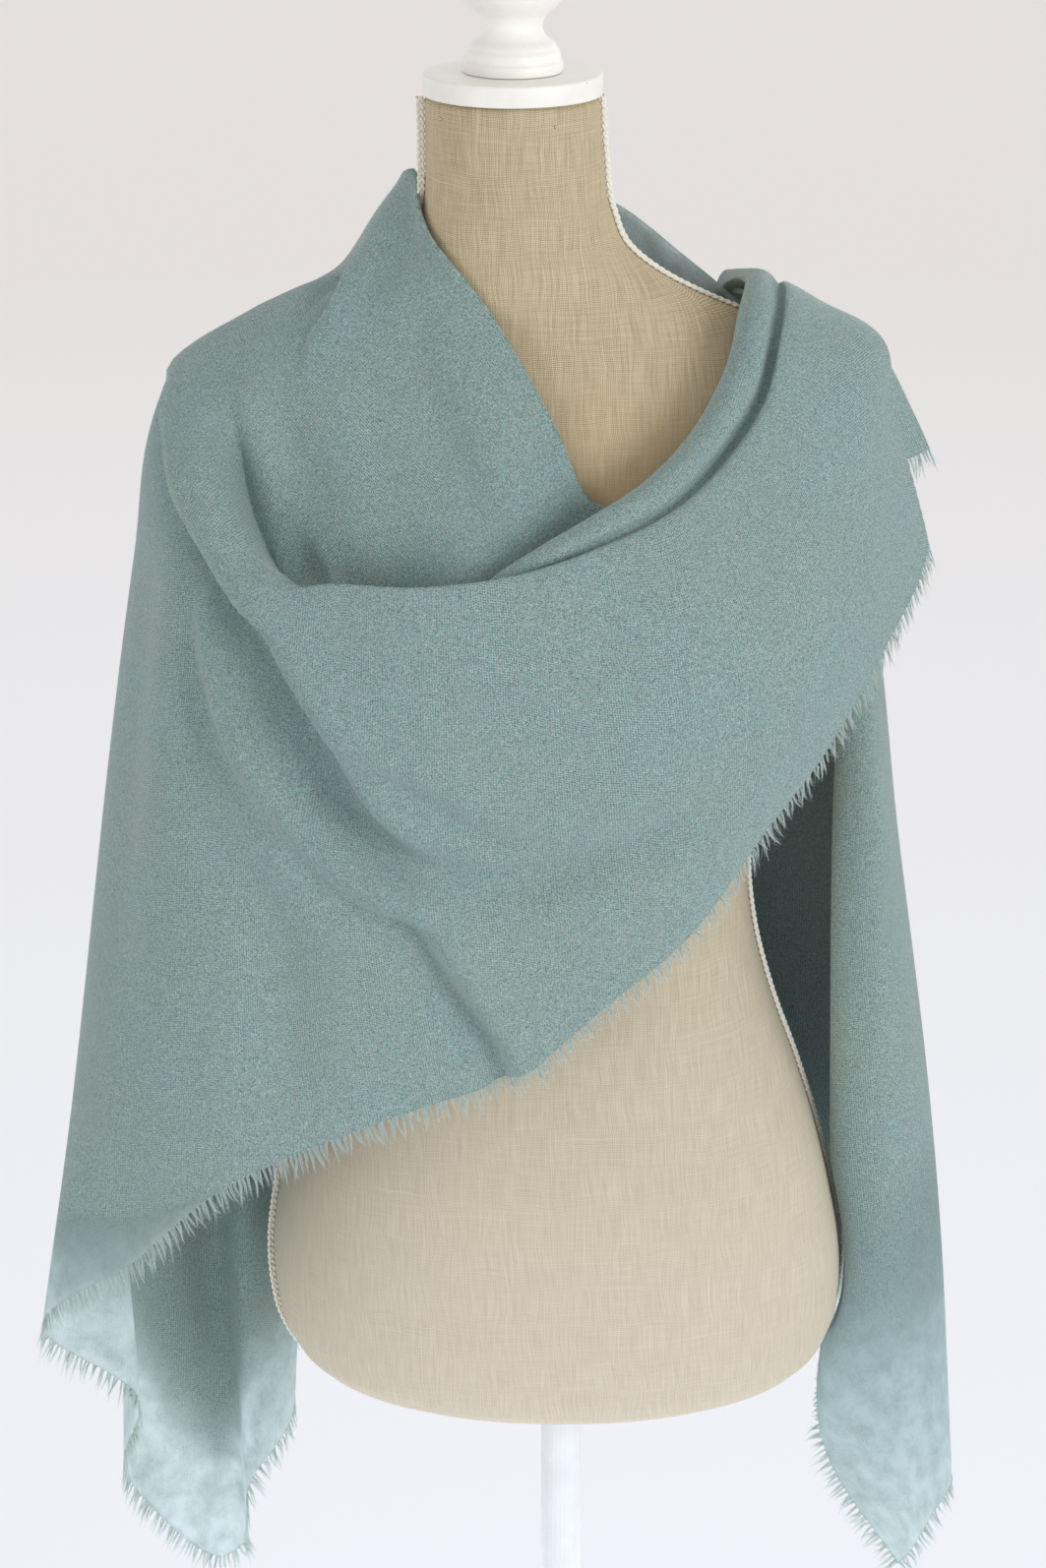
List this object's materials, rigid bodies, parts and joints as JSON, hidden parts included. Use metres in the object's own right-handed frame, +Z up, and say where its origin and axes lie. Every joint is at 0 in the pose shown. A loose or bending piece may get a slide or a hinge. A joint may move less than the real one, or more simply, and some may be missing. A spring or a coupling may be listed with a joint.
{
  "type": "cashmere shawl on a limbless dress form",
  "caption": "Oblong woven shawl with fringed edges, wrapped round a limbless linen dress form on a pole stand, one end thrown over the shoulder.",
  "frame": {"origin": "middle of the foot's underside, on the floor", "axes": "+Z up along the pole; the form faces -Y; +X is the form's own left side, over which the shawl's end is thrown"},
  "size_m": [0.5852, 0.3478, 1.52],
  "materials": {
    "cashmere": "brushed fine twill in a blue-green and grey melange, soft short nap",
    "fringe": "short loose yarn ends of the same cloth",
    "linen": "natural plain-weave linen with slubs, stretched over the form",
    "braid": "cream twisted cotton braid",
    "painted_wood": "white satin paint with small chips"
  },
  "bodies": {
    "root": {"foot": "painted_wood", "pole": "painted_wood", "torso": "linen", "neck_cap": "painted_wood", "knob": "painted_wood", "braid_left": "braid", "braid_right": "braid", "shawl_right_fall": "cashmere", "shawl_back": "cashmere", "shawl_left_fall": "cashmere", "shawl_neck_layer": "cashmere", "shawl_front_swag": "cashmere", "shawl_thrown_end": "cashmere", "fringe_long_hem": "fringe", "fringe_thrown_end": "fringe", "fringe_free_end": "fringe"}
  },
  "joints": []
}
